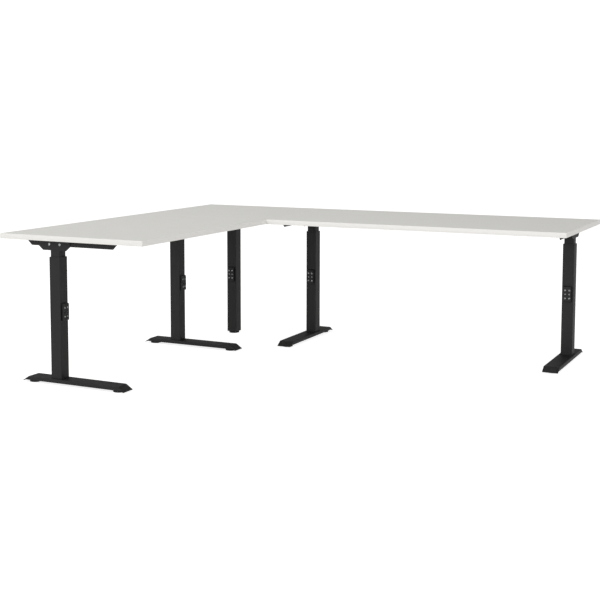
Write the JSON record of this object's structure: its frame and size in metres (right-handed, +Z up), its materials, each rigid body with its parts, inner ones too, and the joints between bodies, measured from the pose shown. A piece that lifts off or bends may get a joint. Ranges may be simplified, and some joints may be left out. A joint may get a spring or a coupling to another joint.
{
  "type": "height-adjustable corner desk",
  "caption": "L-shaped corner desk: light grey laminate top on black telescopic legs with screw clamps, T-feet and levelling glides",
  "frame": {"origin": "on the floor, below the middle of the outline's bounding box", "axes": "+X along the right wing, -Y along the left wing, so the user sits in the +X/-Y quadrant, +Z up"},
  "size_m": [2.4, 2, 0.72],
  "materials": {
    "laminate": "fine-textured light grey melamine laminate on chipboard with a matching edge band",
    "powder_coat": "black fine-texture powder coat, low gloss",
    "guide_plastic": "black moulded acetal",
    "glide_plastic": "black moulded nylon",
    "zinc": "bright zinc plate"
  },
  "bodies": {
    "corner_leg": {"corner_lower_tube": "powder_coat", "corner_guide_sleeve": "guide_plastic", "corner_clamp_box": "powder_coat"},
    "top": {"left_board": "laminate", "corner_board": "laminate", "right_board": "laminate", "linking_plates": "powder_coat", "board_screws": "zinc", "corner_head_plate": "powder_coat", "arm_bolts": "zinc", "left_cross_rail": "powder_coat", "right_cross_rail": "powder_coat", "left_end_upper_tube": "powder_coat", "left_mid_upper_tube": "powder_coat", "corner_upper_tube": "powder_coat", "right_mid_upper_tube": "powder_coat", "right_end_upper_tube": "powder_coat", "left_end_arm": "powder_coat", "left_mid_arm": "powder_coat", "right_mid_arm": "powder_coat", "right_end_arm": "powder_coat"},
    "left_end_leg": {"left_end_lower_tube": "powder_coat", "left_end_guide_sleeve": "guide_plastic", "left_end_clamp_box": "powder_coat", "left_end_foot": "powder_coat", "left_end_foot_bolts": "zinc"},
    "left_mid_leg": {"left_mid_lower_tube": "powder_coat", "left_mid_guide_sleeve": "guide_plastic", "left_mid_clamp_box": "powder_coat", "left_mid_foot": "powder_coat", "left_mid_foot_bolts": "zinc"},
    "right_mid_leg": {"right_mid_lower_tube": "powder_coat", "right_mid_guide_sleeve": "guide_plastic", "right_mid_clamp_box": "powder_coat", "right_mid_foot": "powder_coat", "right_mid_foot_bolts": "zinc"},
    "right_end_leg": {"right_end_lower_tube": "powder_coat", "right_end_guide_sleeve": "guide_plastic", "right_end_clamp_box": "powder_coat", "right_end_foot": "powder_coat", "right_end_foot_bolts": "zinc"},
    "left_end_screws": {"left_end_clamp_screws": "zinc"},
    "left_end_plate": {"left_end_pressure_plate": "zinc"},
    "left_mid_screws": {"left_mid_clamp_screws": "zinc"},
    "left_mid_plate": {"left_mid_pressure_plate": "zinc"},
    "corner_screws": {"corner_clamp_screws": "zinc"},
    "corner_plate": {"corner_pressure_plate": "zinc"},
    "right_mid_screws": {"right_mid_clamp_screws": "zinc"},
    "right_mid_plate": {"right_mid_pressure_plate": "zinc"},
    "right_end_screws": {"right_end_clamp_screws": "zinc"},
    "right_end_plate": {"right_end_pressure_plate": "zinc"},
    "left_end_back_glide": {"left_end_back_glide": "glide_plastic"},
    "left_end_front_glide": {"left_end_front_glide": "glide_plastic"},
    "left_mid_back_glide": {"left_mid_back_glide": "glide_plastic"},
    "left_mid_front_glide": {"left_mid_front_glide": "glide_plastic"},
    "right_mid_back_glide": {"right_mid_back_glide": "glide_plastic"},
    "right_mid_front_glide": {"right_mid_front_glide": "glide_plastic"},
    "right_end_back_glide": {"right_end_back_glide": "glide_plastic"},
    "right_end_front_glide": {"right_end_front_glide": "glide_plastic"},
    "corner_glide": {"corner_glide": "glide_plastic"}
  },
  "joints": [
    {"name": "lift", "type": "slide", "parent": "corner_leg", "child": "top", "axis": [0, 0, 1], "range_m": [-0.03, 0.1]},
    {"name": "left_end_leg_slide", "type": "slide", "parent": "top", "child": "left_end_leg", "axis": [0, 0, -1], "range_m": [-0.03, 0.1]},
    {"name": "left_mid_leg_slide", "type": "slide", "parent": "top", "child": "left_mid_leg", "axis": [0, 0, -1], "range_m": [-0.03, 0.1]},
    {"name": "right_mid_leg_slide", "type": "slide", "parent": "top", "child": "right_mid_leg", "axis": [0, 0, -1], "range_m": [-0.03, 0.1]},
    {"name": "right_end_leg_slide", "type": "slide", "parent": "top", "child": "right_end_leg", "axis": [0, 0, -1], "range_m": [-0.03, 0.1]},
    {"name": "left_end_clamp_screws_out", "type": "slide", "parent": "left_end_leg", "child": "left_end_screws", "axis": [1, 0, 0], "range_m": [0, 0.004]},
    {"name": "left_end_plate_release", "type": "slide", "parent": "left_end_leg", "child": "left_end_plate", "axis": [1, 0, 0], "range_m": [0, 0.0005]},
    {"name": "left_mid_clamp_screws_out", "type": "slide", "parent": "left_mid_leg", "child": "left_mid_screws", "axis": [1, 0, 0], "range_m": [0, 0.004]},
    {"name": "left_mid_plate_release", "type": "slide", "parent": "left_mid_leg", "child": "left_mid_plate", "axis": [1, 0, 0], "range_m": [0, 0.0005]},
    {"name": "corner_clamp_screws_out", "type": "slide", "parent": "corner_leg", "child": "corner_screws", "axis": [0, -1, 0], "range_m": [0, 0.004]},
    {"name": "corner_plate_release", "type": "slide", "parent": "corner_leg", "child": "corner_plate", "axis": [0, -1, 0], "range_m": [0, 0.0005]},
    {"name": "right_mid_clamp_screws_out", "type": "slide", "parent": "right_mid_leg", "child": "right_mid_screws", "axis": [0, -1, 0], "range_m": [0, 0.004]},
    {"name": "right_mid_plate_release", "type": "slide", "parent": "right_mid_leg", "child": "right_mid_plate", "axis": [0, -1, 0], "range_m": [0, 0.0005]},
    {"name": "right_end_clamp_screws_out", "type": "slide", "parent": "right_end_leg", "child": "right_end_screws", "axis": [0, -1, 0], "range_m": [0, 0.004]},
    {"name": "right_end_plate_release", "type": "slide", "parent": "right_end_leg", "child": "right_end_plate", "axis": [0, -1, 0], "range_m": [0, 0.0005]},
    {"name": "left_end_back_glide_level", "type": "slide", "parent": "left_end_leg", "child": "left_end_back_glide", "axis": [0, 0, -1], "range_m": [0, 0.006]},
    {"name": "left_end_front_glide_level", "type": "slide", "parent": "left_end_leg", "child": "left_end_front_glide", "axis": [0, 0, -1], "range_m": [0, 0.006]},
    {"name": "left_mid_back_glide_level", "type": "slide", "parent": "left_mid_leg", "child": "left_mid_back_glide", "axis": [0, 0, -1], "range_m": [0, 0.006]},
    {"name": "left_mid_front_glide_level", "type": "slide", "parent": "left_mid_leg", "child": "left_mid_front_glide", "axis": [0, 0, -1], "range_m": [0, 0.006]},
    {"name": "right_mid_back_glide_level", "type": "slide", "parent": "right_mid_leg", "child": "right_mid_back_glide", "axis": [0, 0, -1], "range_m": [0, 0.006]},
    {"name": "right_mid_front_glide_level", "type": "slide", "parent": "right_mid_leg", "child": "right_mid_front_glide", "axis": [0, 0, -1], "range_m": [0, 0.006]},
    {"name": "right_end_back_glide_level", "type": "slide", "parent": "right_end_leg", "child": "right_end_back_glide", "axis": [0, 0, -1], "range_m": [0, 0.006]},
    {"name": "right_end_front_glide_level", "type": "slide", "parent": "right_end_leg", "child": "right_end_front_glide", "axis": [0, 0, -1], "range_m": [0, 0.006]},
    {"name": "corner_glide_level", "type": "slide", "parent": "corner_leg", "child": "corner_glide", "axis": [0, 0, -1], "range_m": [0, 0.006]}
  ],
  "couplings": [
    {"joint": "left_end_leg_slide", "follows": "lift", "ratio": 1},
    {"joint": "left_mid_leg_slide", "follows": "lift", "ratio": 1},
    {"joint": "right_mid_leg_slide", "follows": "lift", "ratio": 1},
    {"joint": "right_end_leg_slide", "follows": "lift", "ratio": 1},
    {"joint": "left_end_plate_release", "follows": "left_end_clamp_screws_out", "ratio": 0.125},
    {"joint": "left_mid_plate_release", "follows": "left_mid_clamp_screws_out", "ratio": 0.125},
    {"joint": "corner_plate_release", "follows": "corner_clamp_screws_out", "ratio": 0.125},
    {"joint": "right_mid_plate_release", "follows": "right_mid_clamp_screws_out", "ratio": 0.125},
    {"joint": "right_end_plate_release", "follows": "right_end_clamp_screws_out", "ratio": 0.125}
  ]
}
